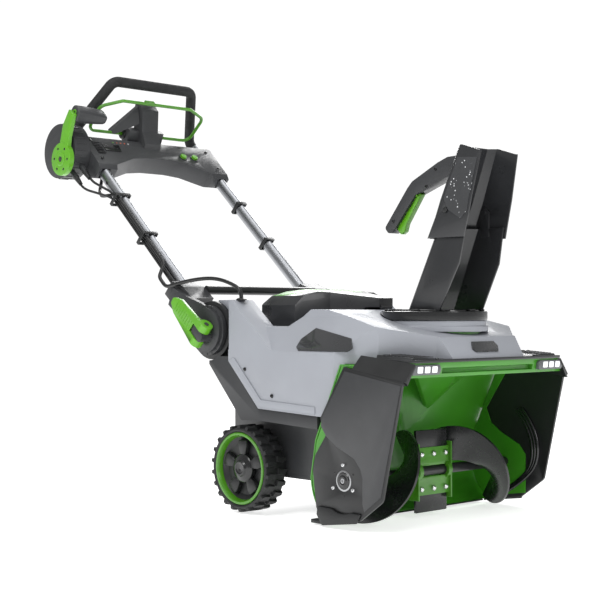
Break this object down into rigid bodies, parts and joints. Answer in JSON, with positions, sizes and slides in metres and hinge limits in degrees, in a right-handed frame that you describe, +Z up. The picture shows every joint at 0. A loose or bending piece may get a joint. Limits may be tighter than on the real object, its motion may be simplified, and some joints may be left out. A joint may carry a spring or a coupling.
{
  "type": "snow blower",
  "caption": "Walk-behind single-stage snow blower with a front auger, a turning discharge chute with tilting deflector, rear wheels and a folding handle.",
  "frame": {"origin": "middle of the scraper bar's lower edge, on the ground", "axes": "+Z up, -Y forwards to the auger, +X to the operator's left when standing behind the handle"},
  "size_m": [0.604, 1.3208, 1.0796],
  "materials": {
    "shell_grey": "cool light grey moulded shell",
    "charcoal": "charcoal moulded plastic, fine texture",
    "black_plastic": "black moulded plastic",
    "housing_green": "green painted steel",
    "green_metal": "green painted steel brackets",
    "steel_satin": "satin steel",
    "bolt_chrome": "bright bolt heads",
    "motor_metal": "dark painted can",
    "pulley_metal": "turned aluminium",
    "black_metal": "black powder coat",
    "aluminium": "bright drawn tube",
    "lime_plastic": "bright lime plastic",
    "lime_metal": "lime coated bar",
    "badge_dark": "blank dark badge",
    "lamp_grey": "grey lamp bezel",
    "lamp_lens": "white lamp lens",
    "battery_dark": "dark battery case",
    "window_green": "green tinted window",
    "button_green": "green marked button",
    "belt_rubber": "ribbed belt",
    "auger_rubber": "black rubber",
    "foam_grip": "black foam grip",
    "cable_black": "black cable sheath",
    "tyre": "black block tread",
    "rim_black": "black rim with a lime ring"
  },
  "bodies": {
    "chassis": {"housing_shell": "housing_green", "side_plate_left": "charcoal", "side_plate_right": "charcoal", "wear_shoes": "steel_satin", "scraper_bar": "black_plastic", "front_beam": "housing_green", "hood_strip": "charcoal", "lamp_bezels": "lamp_grey", "lamp_lenses": "lamp_lens", "body_shell": "shell_grey", "badge_plates": "badge_dark", "base_pan": "charcoal", "pivot_discs": "charcoal", "neck_flange": "shell_grey", "battery_packs": "battery_dark", "battery_tray": "black_plastic", "auger_motor": "motor_metal", "motor_controller": "motor_metal", "auger_bearings": "steel_satin", "drive_belt": "belt_rubber", "belt_cover": "black_plastic", "wheel_axle": "steel_satin", "housing_screws": "steel_satin", "bridge_cable": "cable_black"},
    "auger": {"auger_shaft": "steel_satin", "auger_flight_left": "auger_rubber", "auger_flight_right": "auger_rubber", "auger_paddles": "auger_rubber", "auger_brackets": "green_metal", "auger_bolts": "bolt_chrome", "auger_pulley": "pulley_metal"},
    "motor_rotor": {"motor_pulley": "pulley_metal"},
    "wheel_left": {"tyre_left": "tyre", "rim_left": "rim_black"},
    "wheel_right": {"tyre_right": "tyre", "rim_right": "rim_black"},
    "chute": {"chute_turntable": "black_plastic", "chute_duct": "charcoal"},
    "deflector": {"deflector_hood": "charcoal", "deflector_handle": "charcoal"},
    "trigger": {"deflector_trigger": "lime_plastic"},
    "handle": {"handle_bracket_left": "charcoal", "handle_bracket_right": "charcoal", "handle_tube_left": "aluminium", "handle_tube_right": "aluminium", "cross_bar": "black_metal", "console": "charcoal", "grip_bar": "foam_grip", "cable_clips": "black_plastic", "control_cables": "cable_black", "chute_control": "charcoal"},
    "lever": {"chute_lever": "lime_plastic", "chute_lever_grip": "charcoal"},
    "bail": {"bail_wire": "lime_metal"},
    "lock_left": {"lock_lever_left": "lime_plastic"},
    "lock_right": {"lock_lever_right": "lime_plastic"},
    "lid": {"battery_lid": "charcoal", "lid_window": "window_green"},
    "start": {"start_button": "button_green"},
    "lamp": {"lamp_button": "button_green"}
  },
  "joints": [
    {"name": "auger_spin", "type": "hinge", "parent": "chassis", "child": "auger", "pos_m": [0, -0.084, 0.098], "axis": [1, 0, 0], "continuous": true},
    {"name": "motor_spin", "type": "hinge", "parent": "chassis", "child": "motor_rotor", "pos_m": [0.2, 0.108, 0.168], "axis": [1, 0, 0], "continuous": true},
    {"name": "wheel_left_spin", "type": "hinge", "parent": "chassis", "child": "wheel_left", "pos_m": [0.25, 0.236, 0.097], "axis": [1, 0, 0], "continuous": true},
    {"name": "wheel_right_spin", "type": "hinge", "parent": "chassis", "child": "wheel_right", "pos_m": [-0.25, 0.236, 0.097], "axis": [1, 0, 0], "continuous": true},
    {"name": "chute_rotate", "type": "hinge", "parent": "chassis", "child": "chute", "pos_m": [0, -0.0955, 0.438], "axis": [0, 0, 1], "range_deg": [-90, 90]},
    {"name": "chute_lever_swing", "type": "hinge", "parent": "handle", "child": "lever", "pos_m": [-0.285, 0.93345, 0.84516], "axis": [1, 0, 0], "range_deg": [-20, 20]},
    {"name": "deflector_tilt", "type": "hinge", "parent": "chute", "child": "deflector", "pos_m": [0, -0.187, 0.662], "axis": [1, 0, 0], "range_deg": [0, 40]},
    {"name": "deflector_trigger_pull", "type": "hinge", "parent": "deflector", "child": "trigger", "pos_m": [0, -0.054, 0.704], "axis": [1, 0, 0], "range_deg": [0, 5], "stiffness_Nm_per_rad": 0.6, "springref_deg": -8.59},
    {"name": "bail_squeeze", "type": "hinge", "parent": "handle", "child": "bail", "pos_m": [0, 0.98187, 0.93765], "axis": [-1, 0, 0], "range_deg": [0, 12], "stiffness_Nm_per_rad": 1.2, "springref_deg": -11.46},
    {"name": "handle_fold", "type": "hinge", "parent": "chassis", "child": "handle", "pos_m": [0, 0.371, 0.404], "axis": [1, 0, 0], "range_deg": [0, 80], "deforming": ["bridge_cable"]},
    {"name": "lock_left_swing", "type": "hinge", "parent": "handle", "child": "lock_left", "pos_m": [0.286, 0.36211, 0.39594], "axis": [0, 0.6717, -0.7408], "range_deg": [0, 100]},
    {"name": "lock_right_swing", "type": "hinge", "parent": "handle", "child": "lock_right", "pos_m": [-0.286, 0.36211, 0.39594], "axis": [0, -0.6717, 0.7408], "range_deg": [0, 100]},
    {"name": "battery_lid_open", "type": "hinge", "parent": "chassis", "child": "lid", "pos_m": [0, 0.048, 0.457], "axis": [1, 0, 0], "range_deg": [0, 60]},
    {"name": "start_button_press", "type": "slide", "parent": "handle", "child": "start", "axis": [0, 0.6717, -0.7408], "range_m": [0, 0.0015], "stiffness_N_per_m": 900, "springref_m": -0.001},
    {"name": "lamp_button_press", "type": "slide", "parent": "handle", "child": "lamp", "axis": [0, 0.6717, -0.7408], "range_m": [0, 0.0015], "stiffness_N_per_m": 900, "springref_m": -0.001}
  ],
  "couplings": [
    {"joint": "motor_spin", "follows": "auger_spin", "ratio": 2.8},
    {"joint": "chute_lever_swing", "follows": "chute_rotate", "ratio": 0.22}
  ]
}
